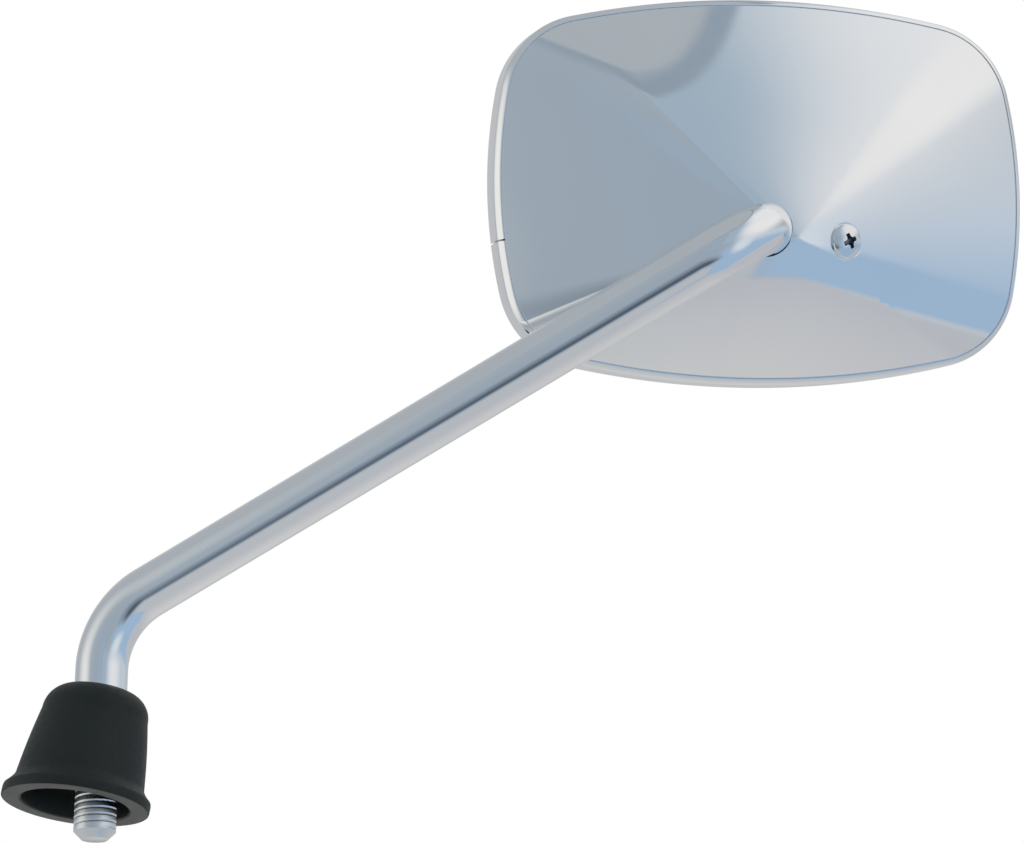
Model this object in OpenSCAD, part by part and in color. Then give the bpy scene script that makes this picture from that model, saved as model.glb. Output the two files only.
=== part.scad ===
// Left-hand scooter mirror: a chromed rod with a threaded foot and a tilting head.
// Millimetres. The origin is on the stud's axis, at the top of its free thread, and +Z is up the stud.
// The head's own frame: x along its width, y up its height, z out of its chromed back.

/* [Stem] */
// Diameter of the rod
rod_d = 10; // [9:0.5:12]
// Diameter of the stud's thread
stud_d = 8; // [6:0.5:8.5]
// Length of the stud below the shoulder
stud_len = 21.2; // [20:0.1:30]
// Chamfer at the stud's tip
stud_chamfer = 1.1; // [0.5:0.1:1.6]
// Length of the relieved shank that the lock nut covers
shank_len = 8.6; // [8:0.1:10]
// How much smaller the shank's radius is than the thread's
shank_relief = 0.35; // [0.3:0.05:0.6]
// Straight rod between the shoulder and the lower bend
foot_len = 11.7; // [11.5:0.1:25]
// Centre-line radius of the lower bend
lower_bend_r = 15.9; // [12:0.1:24]
// Rise of the long rod above the horizontal
rod_rise = 24.7; // [15:0.1:40]
// Straight rod between the two bends
rod_len = 123.4; // [95:0.1:180]
// Centre-line radius of the upper bend
upper_bend_r = 12; // [10:0.5:16]
// Angle through which the upper bend turns
upper_bend_angle = 95.5; // [88:0.5:100]
// Turn of the upper bend's plane about the rod
upper_bend_twist = 24.3; // [18:0.1:30]
// Diameter of the neck
neck_d = 6; // [5.5:0.25:6.5]
// Length of the taper from the rod to the neck
neck_taper = 1.6; // [1:0.1:2.5]
// Length from the upper bend to the ball's centre
neck_len = 8.9; // [8.8:0.1:10]
// Diameter of the ball
ball_d = 10; // [9.5:0.25:10.5]

/* [Boot and nut] */
// Width across the lock nut's flats
nut_flats = 12; // [11:0.25:12.5]
// Height of the lock nut
nut_h = 5; // [4:0.25:6]
// Gap between the shoulder and the lock nut
nut_drop = 1.2; // [0.5:0.1:2]
// Height of the boot
boot_h = 22.9; // [21:0.1:26]
// Height of the boot's collar top above the shoulder
boot_top = 7.7; // [7.5:0.1:9]
// Radius of the boot under its rounded shoulder
boot_shoulder_r = 10.4; // [10.2:0.1:11]
// Radius of the rounding of the boot's shoulder
boot_shoulder_round = 5; // [3.5:0.1:5.2]
// Radius of the boot above its lip
boot_base_r = 12.8; // [12.4:0.1:14]
// Height of the flared lip
boot_lip_h = 3.4; // [2.5:0.1:5]
// How far the lip stands out
boot_lip_out = 1.2; // [0.8:0.1:2]
// Radius of the boot's inside
boot_bore_r = 10.1; // [10:0.05:10.6]
// Thickness of the boot's roof
boot_roof = 4.4; // [4:0.1:5]
// Lean of the boot on the rod
boot_lean = 10; // [6:0.5:11]
// Tilt of the boot's mouth
boot_mouth_tilt = 6; // [2:0.5:8]
// Direction of the lean, about the stud
boot_lean_turn = 202; // [180:1:225]

/* [Head outline] */
// Half of the head's width
head_half_w = 53.6; // [50:0.1:58]
// Half of the head's height
head_half_h = 37.8; // [35:0.1:42]
// Radius of the long edges
long_edge_r = 181; // [150:1:210]
// Radius of the short edges
short_edge_r = 97.5; // [85:0.5:115]
// Radius of the corners
corner_r = 18; // [14:0.5:22]
// Turn of the head about the vertical
head_yaw = 36.2; // [30:0.1:42]
// Pitch of the head's back, negative is downwards
head_pitch = -14.7; // [-20:0.1:-10]
// Roll of the head in its own plane
head_roll = 5.2; // [0:0.1:10]
// Ball's centre across the head
ball_x = -4.4; // [-6:0.1:-3]
// Ball's centre up the head
ball_y = -9.7; // [-12:0.1:-8]
// Depth of the ball's centre below the dome's peak
ball_drop = 7.4; // [7.2:0.1:7.8]

/* [Rim band] */
// Depth of the rim band
band_depth = 7.5; // [7:0.1:10]
// Thickness of the rim band's strip
band_t = 0.7; // [0.5:0.05:0.9]
// Width of the band's lip over the shell
back_lip = 1.9; // [1.7:0.1:2.6]
// Width of the band's lip over the glass
front_lip = 2.2; // [1.8:0.1:3]
// Radius of the band's back edge
back_edge_r = 1.1; // [1:0.05:1.4]
// Radius of the band's front edge
front_edge_r = 0.9; // [0.9:0.05:1.3]
// Place of the band's seam below the middle of the left edge
seam_drop = 6.5; // [3:0.5:10]
// Gap between the band's ends at the seam
seam_gap = 0.35; // [0.2:0.05:0.6]
// Thickness of the clip behind the seam
clip_t = 0.35; // [0.3:0.05:0.4]
// Length of the clip behind the seam
clip_len = 14; // [10:0.5:18]

/* [Back shell] */
// Height of the dome above the rim's back
dome_h = 22.6; // [21.5:0.1:25]
// Place of the dome's peak across the head
peak_x = -0.7; // [-3:0.1:2]
// Place of the dome's peak up the head
peak_y = -11.7; // [-13:0.1:-9]
// How full the dome is between its peak and its edge
dome_fullness = 1.4; // [1.3:0.05:1.6]
// Thickness of the shell's sheet
shell_t = 0.8; // [0.6:0.05:1]
// Diameter of the hole that the neck passes
neck_hole_d = 10; // [9.8:0.1:10.6]
// Place of the clamp screw across the head
screw_x = 9.7; // [9:0.1:11.5]
// Place of the clamp screw up the head
screw_y = -12.1; // [-13.5:0.1:-10]

/* [Glass] */
// Thickness of the mirror glass
glass_t = 3; // [2.5:0.1:3]
// Thickness of the gasket in front of the glass
gasket_t = 0.5; // [0.4:0.05:0.7]
// How far the gasket shows inside the band's front lip
gasket_show = 0.4; // [0.2:0.05:0.8]

/* [Ball clamp] */
// Thickness of the friction liners
liner_t = 1; // [0.8:0.05:1.1]
// Largest swing of the neck that the openings allow
swing = 14; // [14:0.1:15]
// Length of the socket block
block_len = 31; // [30:0.5:34]
// Width of the socket block
block_w = 21; // [19:0.5:24]
// Corner radius of the socket block
block_corner_r = 4; // [2:0.5:6]
// Thickness of the clamp plate
plate_t = 1.6; // [1.4:0.05:2]
// Width of the clamp plate's heel
heel_w = 12; // [8:0.5:16]
// Diameter of the clamp screw
screw_d = 3; // [2.5:0.1:3]
// Diameter of the clamp screw's head
screw_head_d = 6.6; // [6:0.1:7]
// Height of the clamp screw's domed head
screw_head_h = 2; // [1.8:0.1:2.4]
// Length of the clamp screw under its head
screw_len = 15.2; // [15:0.1:18]
// Width across the clamp nut's flats
clamp_nut_flats = 5.5; // [5:0.1:6]
// Height of the clamp nut
clamp_nut_h = 2.4; // [2:0.1:2.8]

/* [Hidden] */

// Clearances
running_gap = 0.04;
seat_gap = 0.05;
hole_gap = 0.2;
boot_gap = 0.06;

// How much fuller the rod is in its bends, and how far the straight lengths run into them
bend_swell = 0.02;
bend_overlap = 0.4;

// Colours
chrome_colour = [0.80, 0.82, 0.85];
zinc_colour = [0.70, 0.71, 0.70];
rubber_colour = [0.16, 0.18, 0.18];
nylon_colour = [0.90, 0.88, 0.82];
glass_colour = [0.75, 0.80, 0.84];
foam_colour = [0.30, 0.30, 0.31];

// Smoothness of round solids
round_fn = 48;
small_fn = 32;

// Rod
rod_r = rod_d / 2;
stud_r = stud_d / 2;
shank_r = stud_r - shank_relief;
neck_r = neck_d / 2;
ball_r = ball_d / 2;
ball_z = dome_h - ball_drop;
lower_bend_angle = 90 - rod_rise;
shoulder_z = shank_len;
stud_tip_z = shoulder_z - stud_len;

// Directions of the rod, of the normal to it in its upright plane and of the neck
rod_dir = [cos(rod_rise), 0, sin(rod_rise)];
rod_up = [-sin(rod_rise), 0, cos(rod_rise)];
bend_side = cos(upper_bend_twist) * [0, 1, 0] + sin(upper_bend_twist) * rod_up;
neck_dir = cos(upper_bend_angle) * rod_dir + sin(upper_bend_angle) * bend_side;

// Ends of the bends, and the ball's centre
lower_bend_end = [
    lower_bend_r * (1 - cos(lower_bend_angle)), 0,
    shoulder_z + foot_len + lower_bend_r * sin(lower_bend_angle)
];
upper_bend_start = lower_bend_end + rod_len * rod_dir;
upper_bend_end = upper_bend_start + upper_bend_r * sin(upper_bend_angle) * rod_dir
    + upper_bend_r * (1 - cos(upper_bend_angle)) * bend_side;
ball_centre = upper_bend_end + neck_len * neck_dir;

// Head's axes in the part's frame, and the neck's direction in the head's frame
head_z = [sin(head_yaw) * cos(head_pitch), -cos(head_yaw) * cos(head_pitch), sin(head_pitch)];
level_x = [cos(head_yaw), sin(head_yaw), 0];
level_y = cross(head_z, level_x);
head_x = cos(head_roll) * level_x + sin(head_roll) * level_y;
head_y = cos(head_roll) * level_y - sin(head_roll) * level_x;
ball_in_head = [ball_x, ball_y, ball_z];
neck_out = -[neck_dir * head_x, neck_dir * head_y, neck_dir * head_z];

// Head outline: where its corner arcs meet the long and the short edges
long_centre = [0, head_half_h - long_edge_r];
short_centre = [head_half_w - short_edge_r, 0];
centre_step = short_centre - long_centre;
centre_gap = norm(centre_step);
corner_from_long = long_edge_r - corner_r;
corner_from_short = short_edge_r - corner_r;
corner_spread = pow(corner_from_long, 2) - pow(corner_from_short, 2);
corner_along = (corner_spread + pow(centre_gap, 2)) / (2 * centre_gap);
corner_aside = sqrt(pow(corner_from_long, 2) - pow(corner_along, 2));
corner_centre = long_centre
    + (corner_along * centre_step + corner_aside * [centre_step[1], -centre_step[0]]) / centre_gap;
long_turn = atan2(corner_centre[1] - long_centre[1], corner_centre[0] - long_centre[0]);
short_turn = atan2(corner_centre[1], corner_centre[0] - short_centre[0]);
seam_turn = asin(seam_drop / short_edge_r);
long_steps = 10;
short_steps = 8;
corner_steps = 6;

// Insets from the outline, and depths in the head
clip_inset = band_t + seat_gap;
skirt_inset = clip_inset + clip_t + seat_gap;
dome_inset = back_lip + hole_gap;
glass_inset = skirt_inset + seat_gap;
skirt_inner = skirt_inset + shell_t;
pad_inset = skirt_inner + hole_gap;
flange_z = -band_t - seat_gap;
gasket_z = -band_depth + band_t;
glass_z = gasket_z + gasket_t;
skirt_z = glass_z + glass_t;
pad_top_z = flange_z - shell_t - seat_gap;

// Ball clamp, measured from the ball's centre
liner_in_r = ball_r + running_gap;
liner_out_r = liner_in_r + liner_t;
socket_r = liner_out_r + running_gap;
liner_rear_low = 0.9;
liner_front_top = -2.4;
liner_hole_r = 1.8;
block_low = -1;
plate_top = -2;
plate_low = plate_top - plate_t;
dish_r = socket_r + plate_t * 0.95;
block_x = 3.1;
block_y = 0;
block_top_gap = 0.1;
opening_base_r = neck_r / cos(swing) + hole_gap;
opening_h = 18;
opening_r = opening_base_r + opening_h * tan(swing);
screw_r = screw_d / 2;
screw_hole_r = screw_r + hole_gap;
hole_start = 40;
screw_pos = [screw_x, screw_y];
heel_x = block_x - block_len / 2 + plate_t;

// Clamp screw, square to the dome; depths along it are measured from the dome
slope_step = 0.5;
slope_x = dome_slope(screw_pos, [slope_step, 0]);
slope_y = dome_slope(screw_pos, [0, slope_step]);
seat_depth = 0.15;
seat_r = screw_head_d / 2 + 0.3;
screw_tip = seat_depth + screw_len;
washer_t = 0.7;
clamp_nut_low = screw_tip - 1.2;
washer_low = clamp_nut_low - clamp_nut_h;
tab_low = washer_low - washer_t;
tab_r = screw_head_d / 2 + 1;
tab_back = 5.5;

// Points on an arc, without its end
function arc(centre, r, from, to, steps) = [
    for (i = [0:steps - 1])
        let (a = from + (to - from) * i / steps)
            [centre[0] + r * cos(a), centre[1] + r * sin(a)]
];

// The head's outline, moved inwards, anticlockwise from the seam
function outline(inset) = let (
    sc = short_centre,
    lc = long_centre,
    cc = corner_centre,
    sr = short_edge_r - inset,
    lr = long_edge_r - inset,
    cr = corner_r - inset
) concat(
    arc([-sc[0], 0], sr, 180 + seam_turn, 180 + short_turn, short_steps / 2),
    arc([-cc[0], -cc[1]], cr, 180 + short_turn, 180 + long_turn, corner_steps),
    arc([0, -lc[1]], lr, 180 + long_turn, 360 - long_turn, long_steps),
    arc([cc[0], -cc[1]], cr, 360 - long_turn, 360 - short_turn, corner_steps),
    arc(sc, sr, -short_turn, short_turn, short_steps),
    arc(cc, cr, short_turn, long_turn, corner_steps),
    arc(lc, lr, long_turn, 180 - long_turn, long_steps),
    arc([-cc[0], cc[1]], cr, 180 - long_turn, 180 - short_turn, corner_steps),
    arc([-sc[0], 0], sr, 180 - short_turn, 180 + seam_turn, short_steps / 2)
);

// The dome: its height falls from the peak to the edge, along rays from the peak
function dome_fall(share) = pow(share, dome_fullness);
function dome_z(share) = flange_z + (dome_h - flange_z) * (1 - dome_fall(share));

// Share of the way from the peak to the dome's edge at which a point lies
function cross2(a, b) = a[0] * b[1] - a[1] * b[0];
function edge_share(p) = let (
    edge = outline(dome_inset),
    peak = [peak_x, peak_y],
    ray = p - peak,
    hits = [
        for (i = [0:len(edge) - 1])
            let (
                a = edge[i] - peak,
                side = edge[(i + 1) % len(edge)] - edge[i],
                det = cross2(ray, side),
                reach = det == 0 ? -1 : cross2(a, side) / det,
                along = det == 0 ? -1 : cross2(a, ray) / det
            )
            if (reach > 0 && along >= 0 && along <= 1) reach
    ]
) 1 / min(hits);
function dome_height(p) = dome_z(edge_share(p));
function dome_slope(p, step) = (dome_height(p + step) - dome_height(p - step)) / (2 * norm(step));

// Rings of the dome at one distance under its outside
dome_shares = [0.05, 0.12, 0.2, 0.3, 0.42, 0.56, 0.7, 0.85, 1];
function dome_ring(share, drop, inset) = [
    for (p = outline(inset))
        [peak_x + share * (p[0] - peak_x), peak_y + share * (p[1] - peak_y), dome_z(share) - drop]
];
function flat_ring(inset, z) = [for (p = outline(inset)) [p[0], p[1], z]];

// A closed solid through rings of points, closed flat or by a fan round a peak at each end
module loft(rings, peaks = []) {
    n = len(rings[0]);
    last = len(rings) - 1;
    first_peak = len(rings) * n;
    polyhedron(
        points = concat([for (ring = rings) each ring], peaks),
        faces = concat(
            len(peaks) == 0
                ? [[for (i = [0:n - 1]) i], [for (i = [n - 1:-1:0]) last * n + i]]
                : [
                    for (i = [0:n - 1])
                        each [
                            [i, (i + 1) % n, first_peak],
                            [last * n + (i + 1) % n, last * n + i, first_peak + 1]
                        ]
                ],
            [
                for (j = [0:last - 1], i = [0:n - 1])
                    each [
                        [j * n + i, (j + 1) * n + i, (j + 1) * n + (i + 1) % n],
                        [j * n + i, (j + 1) * n + (i + 1) % n, j * n + (i + 1) % n]
                    ]
            ]
        ),
        convexity = 8
    );
}

// Places its children in the head's frame
module in_head() {
    translate(ball_centre)
        rotate([90 - head_pitch, 0, head_yaw])
            rotate([0, 0, head_roll])
                translate(-ball_in_head)
                    children();
}

// Places its children at the ball, with z out along the neck
module along_neck() {
    translate(ball_in_head)
        rotate([0, acos(neck_out[2]), atan2(neck_out[1], neck_out[0])])
            children();
}

// Places its children on the dome at the clamp screw, with z out along the screw
module along_screw() {
    steepness = norm([slope_x, slope_y]);
    translate([screw_x, screw_y, dome_height(screw_pos)])
        rotate([0, atan(steepness), atan2(-slope_y, -slope_x)])
            children();
}

// The hole that the clamp screw passes
module screw_hole() {
    along_screw()
        rotate([0, 0, hole_start])
            translate([0, 0, -screw_tip])
                cylinder(h = screw_tip + shell_t, r = screw_hole_r, $fn = small_fn);
}

// The space that the neck needs to swing, widening outwards from the ball
module neck_opening() {
    along_neck() cylinder(h = opening_h, r1 = opening_base_r, r2 = opening_r, $fn = round_fn);
}

// A rod bent from +z towards +x
module bend(r, angle) {
    translate([r, 0, 0])
        rotate([90, 0, 0])
            rotate([0, 0, 180 - angle])
                rotate_extrude(angle = angle, $fn = round_fn * 2)
                    translate([r, 0])
                        circle(r = rod_r + bend_swell, $fn = round_fn);
}

module stem() {
    color(chrome_colour) {
        translate([0, 0, stud_tip_z])
            cylinder(h = stud_chamfer, r1 = stud_r - stud_chamfer, r2 = stud_r, $fn = round_fn);
        translate([0, 0, stud_tip_z + stud_chamfer])
            cylinder(h = -stud_tip_z - stud_chamfer, r = stud_r, $fn = round_fn);
        cylinder(h = shoulder_z, r = shank_r, $fn = round_fn);
        translate([0, 0, shoulder_z]) cylinder(h = foot_len + bend_overlap, r = rod_r, $fn = round_fn);
        translate([0, 0, shoulder_z + foot_len]) bend(lower_bend_r, lower_bend_angle);
        translate(lower_bend_end)
            rotate([0, lower_bend_angle, 0])
                rotate([0, 0, 90 + upper_bend_twist]) {
                    translate([0, 0, -bend_overlap])
                        cylinder(h = rod_len + 2 * bend_overlap, r = rod_r, $fn = round_fn);
                    translate([0, 0, rod_len]) {
                        bend(upper_bend_r, upper_bend_angle);
                        translate([
                            upper_bend_r * (1 - cos(upper_bend_angle)), 0,
                            upper_bend_r * sin(upper_bend_angle)
                        ])
                            rotate([0, upper_bend_angle, 0]) neck();
                    }
                }
    }
}

// The turned end of the rod, from the upper bend to the ball
module neck() {
    taper_end = bend_overlap + neck_taper;
    translate([0, 0, -bend_overlap]) cylinder(h = 2 * bend_overlap, r = rod_r, $fn = round_fn);
    translate([0, 0, bend_overlap]) cylinder(h = neck_taper, r1 = rod_r, r2 = neck_r, $fn = round_fn);
    translate([0, 0, taper_end]) cylinder(h = neck_len - taper_end, r = neck_r, $fn = round_fn);
    translate([0, 0, neck_len]) sphere(r = ball_r, $fn = round_fn);
}

module lock_nut() {
    corner = nut_flats / 2 / cos(30);
    color(zinc_colour)
        translate([0, 0, shoulder_z - nut_drop - nut_h])
            rotate([0, 0, boot_lean_turn - 30])
            difference() {
                intersection() {
                    cylinder(h = nut_h, r = corner, $fn = 6);
                    cylinder(h = nut_h, r1 = corner - 0.5 + nut_h, r2 = corner - 0.5, $fn = round_fn);
                    cylinder(h = nut_h, r1 = corner - 0.5, r2 = corner - 0.5 + nut_h, $fn = round_fn);
                }
                translate([0, 0, -1]) cylinder(h = nut_h + 2, r = shank_r + seat_gap, $fn = round_fn);
            }
}

// One level of the boot: a circle that leans with its depth below the collar
function boot_ring(r, z) = [
    for (i = [0:boot_sides - 1])
        let (
            a = 360 * i / boot_sides,
            depth = boot_top_z - z,
            shift = depth * tan(boot_lean),
            x = r * cos(a) + shift
        )
        [x, r * sin(a), z + r * cos(a) * tan(boot_mouth_tilt) * min(1, depth / boot_h)]
];
boot_sides = 48;
boot_top_z = shoulder_z + boot_top;
boot_base_z = boot_top_z - boot_h;
boot_roof_z = boot_top_z - boot_roof;

module rubber_boot() {
    lip_z = boot_base_z + boot_lip_h;
    lip_r = boot_base_r + boot_lip_out;
    round_r = boot_shoulder_round;
    side_r = (boot_shoulder_r + boot_base_r) / 2 + 0.35;
    color(rubber_colour)
        difference() {
            rotate([0, 0, boot_lean_turn])
                loft(concat(
                    [
                        boot_ring(boot_bore_r - 1.6, boot_roof_z),
                        boot_ring(boot_bore_r, boot_roof_z - 1.6),
                        boot_ring(boot_bore_r, boot_base_z),
                        boot_ring(lip_r - 0.5, boot_base_z),
                        boot_ring(lip_r, boot_base_z + 0.6),
                        boot_ring(lip_r - 0.2, boot_base_z + 1.4),
                        boot_ring(boot_base_r + boot_lip_out * 0.4, lip_z - 1),
                        boot_ring(boot_base_r, lip_z + 0.2),
                        boot_ring(side_r, (boot_top_z - round_r + lip_z) / 2)
                    ],
                    [
                        for (a = [90:-22.5:0])
                            boot_ring(
                                boot_shoulder_r - round_r + round_r * sin(a),
                                boot_top_z - round_r * (1 - cos(a))
                            )
                    ]
                ));
            translate([0, 0, boot_base_z]) cylinder(h = boot_h * 2, r = rod_r + boot_gap, $fn = round_fn);
        }
}

// A spherical liner between the ball and its socket
module liner() {
    difference() {
        sphere(r = liner_out_r, $fn = round_fn);
        sphere(r = liner_in_r, $fn = round_fn);
    }
}

module ball_seat_rear() {
    color(nylon_colour)
        in_head()
            difference() {
                along_neck()
                    intersection() {
                        liner();
                        translate([0, 0, liner_rear_low]) cylinder(h = ball_d, r = ball_d, $fn = round_fn);
                    }
                neck_opening();
            }
}

module ball_seat_front() {
    color(nylon_colour)
        in_head()
            translate(ball_in_head)
                difference() {
                    intersection() {
                        liner();
                        translate([0, 0, liner_front_top - ball_d])
                            cylinder(h = ball_d, r = ball_d, $fn = round_fn);
                    }
                    translate([0, 0, -ball_d]) cylinder(h = ball_d, r = liner_hole_r, $fn = small_fn);
                }
}

module back_shell() {
    color(chrome_colour)
        in_head()
            difference() {
                loft(concat(
                    [for (s = dome_shares) dome_ring(s, shell_t, dome_inset)],
                    [
                        flat_ring(skirt_inner, flange_z - shell_t),
                        flat_ring(skirt_inner, skirt_z),
                        flat_ring(skirt_inset, skirt_z),
                        flat_ring(skirt_inset, flange_z)
                    ],
                    [for (i = [len(dome_shares) - 1:-1:0]) dome_ring(dome_shares[i], 0, dome_inset)]
                ), [[peak_x, peak_y, dome_h - shell_t], [peak_x, peak_y, dome_h]]);
                along_screw()
                    translate([0, 0, -seat_depth]) cylinder(h = screw_head_h, r = seat_r, $fn = small_fn);
                screw_hole();
                along_neck() cylinder(h = opening_h, d = neck_hole_d, $fn = round_fn);
            }
}

module rim_band() {
    color(chrome_colour)
        in_head()
            difference() {
                loft(concat(
                    [
                        for (a = [270:-30:180])
                            flat_ring(front_edge_r * (1 + cos(a)), front_edge_r * (1 + sin(a)) - band_depth)
                    ],
                    [
                        for (a = [180:-30:90])
                            flat_ring(back_edge_r * (1 + cos(a)), back_edge_r * (sin(a) - 1))
                    ]
                ));
                loft([
                    flat_ring(front_edge_r, gasket_z),
                    flat_ring(band_t, gasket_z + front_edge_r - band_t),
                    flat_ring(band_t, -back_edge_r),
                    flat_ring(back_edge_r, -band_t)
                ]);
                translate([0, 0, -band_depth - 1])
                    linear_extrude(band_depth / 2 + 1) polygon(outline(front_lip));
                translate([0, 0, -band_depth / 2]) linear_extrude(band_depth) polygon(outline(back_lip));
                translate([-short_centre[0], 0, -band_depth - 1])
                    rotate([0, 0, 180 + seam_turn])
                        translate([short_edge_r - 5, -seam_gap / 2, 0]) cube([10, seam_gap, band_depth + 2]);
            }
}

module seam_clip() {
    half = clip_len / 2 / short_edge_r * 180 / PI;
    first = 180 + seam_turn - half;
    last = 180 + seam_turn + half;
    outer_r = short_edge_r - clip_inset;
    inner_r = outer_r - clip_t;
    color(zinc_colour)
        in_head()
            translate([0, 0, glass_z + seat_gap])
                linear_extrude(-back_edge_r - hole_gap - glass_z)
                    polygon(concat(
                        arc(-short_centre, outer_r, first, last, 6),
                        arc(-short_centre, inner_r, last, first, 6)
                    ));
}

module mirror_glass() {
    color(glass_colour)
        in_head()
            translate([0, 0, glass_z]) linear_extrude(glass_t) polygon(outline(glass_inset));
}

module glass_gasket() {
    color(rubber_colour)
        in_head()
            translate([0, 0, gasket_z])
                linear_extrude(gasket_t)
                    difference() {
                        polygon(outline(clip_inset + hole_gap));
                        polygon(outline(front_lip + gasket_show));
                    }
}

module backing_pad() {
    color(foam_colour)
        in_head()
            translate([0, 0, skirt_z]) linear_extrude(pad_top_z - skirt_z) polygon(outline(pad_inset));
}

// The whole space under the dome, for pieces that lie against its inside
module under_dome(drop) {
    low_z = flange_z - drop - shell_t;
    loft(concat(
        [flat_ring(dome_inset + hole_gap, low_z)],
        [for (i = [len(dome_shares) - 1:-1:0]) dome_ring(dome_shares[i], drop, dome_inset + hole_gap)]
    ), [[peak_x, peak_y, low_z], [peak_x, peak_y, dome_h - drop]]);
}

module rounded_plate(length, width, r) {
    square([length, width - 2 * r], center = true);
    square([length - 2 * r, width], center = true);
    for (x = [-1, 1], y = [-1, 1])
        translate([x * (length / 2 - r), y * (width / 2 - r)]) circle(r = r, $fn = small_fn);
}

module socket_block() {
    color(zinc_colour)
        in_head()
            difference() {
                intersection() {
                    under_dome(shell_t + block_top_gap);
                    translate(ball_in_head + [block_x, block_y, block_low])
                        linear_extrude(dome_h) rounded_plate(block_len, block_w, block_corner_r);
                }
                translate(ball_in_head) {
                    sphere(r = socket_r, $fn = round_fn);
                    translate([0, 0, block_low * 2])
                        cylinder(h = -block_low * 2, r = socket_r, $fn = round_fn);
                }
                neck_opening();
                screw_hole();
            }
}

// The clamp plate: a dished strap with a heel under the block and a tab bent square to the screw
module clamp_plate() {
    color(zinc_colour)
        in_head()
            difference() {
                union() {
                    translate(ball_in_head) {
                        translate([0, 0, plate_low])
                            linear_extrude(plate_t)
                                hull() {
                                    circle(r = dish_r + 1.5, $fn = small_fn);
                                    translate([heel_x, 0]) square([plate_t, heel_w], center = true);
                                }
                        translate([heel_x - plate_t / 2, -heel_w / 2, plate_low])
                            cube([plate_t, heel_w, block_low - plate_low]);
                        intersection() {
                            sphere(r = dish_r, $fn = round_fn);
                            translate([0, 0, plate_top - ball_d])
                                cylinder(h = ball_d, r = ball_d, $fn = round_fn);
                        }
                    }
                    along_screw() {
                        translate([0, 0, -tab_low]) cylinder(h = plate_t, r = tab_r, $fn = small_fn);
                        translate([-tab_back, -tab_r, -tab_low]) cube([tab_back, tab_r * 2, plate_t]);
                    }
                }
                translate(ball_in_head) {
                    sphere(r = socket_r, $fn = round_fn);
                    translate([0, 0, -ball_d])
                        cylinder(h = ball_d, r = liner_hole_r + hole_gap, $fn = small_fn);
                }
                screw_hole();
            }
}

// The clamp screw: a domed head with a crossed recess, square to the dome
module clamp_screw() {
    slot_w = 0.9;
    slot_len = screw_head_d * 0.5;
    dome_r = (pow(screw_head_d / 2, 2) + pow(screw_head_h, 2)) / (2 * screw_head_h);
    color(chrome_colour)
        in_head()
            along_screw()
                translate([0, 0, -seat_depth])
                    difference() {
                        union() {
                            intersection() {
                                cylinder(h = screw_head_h, d = screw_head_d, $fn = small_fn);
                                translate([0, 0, screw_head_h - dome_r]) sphere(r = dome_r, $fn = round_fn);
                            }
                            translate([0, 0, -screw_len])
                                cylinder(h = screw_len, r = screw_r, $fn = small_fn);
                        }
                        for (turn = [0, 90])
                            rotate([0, 0, turn + 20])
                                translate([-slot_len / 2, -slot_w / 2, screw_head_h - 1.2])
                                    cube([slot_len, slot_w, screw_head_h]);
                    }
}

module clamp_lock_washer() {
    color(zinc_colour)
        in_head()
            along_screw()
                translate([0, 0, -washer_low])
                    difference() {
                        cylinder(h = washer_t, d = clamp_nut_flats + 0.5, $fn = small_fn);
                        translate([0, 0, -1]) cylinder(h = washer_t + 2, r = screw_hole_r, $fn = small_fn);
                    }
}

module clamp_nut() {
    color(zinc_colour)
        in_head()
            along_screw()
                translate([0, 0, -clamp_nut_low])
                    difference() {
                        cylinder(h = clamp_nut_h, r = clamp_nut_flats / 2 / cos(30), $fn = 6);
                        translate([0, 0, -1])
                            cylinder(h = clamp_nut_h + 2, r = screw_r + seat_gap, $fn = small_fn);
                    }
}

stem();
lock_nut();
rubber_boot();
ball_seat_rear();
ball_seat_front();
back_shell();
rim_band();
seam_clip();
mirror_glass();
glass_gasket();
backing_pad();
socket_block();
clamp_plate();
clamp_screw();
clamp_lock_washer();
clamp_nut();
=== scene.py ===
# Left-hand scooter mirror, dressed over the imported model
import bpy
from math import asin, atan2, cos, hypot, pi, radians, sin, sqrt, tan
from mathutils import Matrix, Vector
from mathutils.geometry import delaunay_2d_cdt


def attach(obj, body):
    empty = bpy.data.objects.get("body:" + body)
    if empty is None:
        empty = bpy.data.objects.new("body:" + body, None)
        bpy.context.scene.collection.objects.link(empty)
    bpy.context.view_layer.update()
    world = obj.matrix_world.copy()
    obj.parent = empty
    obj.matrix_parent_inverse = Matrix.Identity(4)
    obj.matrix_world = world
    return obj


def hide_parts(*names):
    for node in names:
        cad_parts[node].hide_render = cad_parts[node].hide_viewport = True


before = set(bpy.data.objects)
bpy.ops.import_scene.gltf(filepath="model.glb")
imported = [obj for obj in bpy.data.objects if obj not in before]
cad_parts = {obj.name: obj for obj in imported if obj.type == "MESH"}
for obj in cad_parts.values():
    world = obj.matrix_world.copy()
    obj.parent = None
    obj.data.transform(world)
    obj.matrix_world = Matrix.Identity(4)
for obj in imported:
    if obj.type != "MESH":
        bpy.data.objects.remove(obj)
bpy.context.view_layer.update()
MM = 0.001

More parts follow.
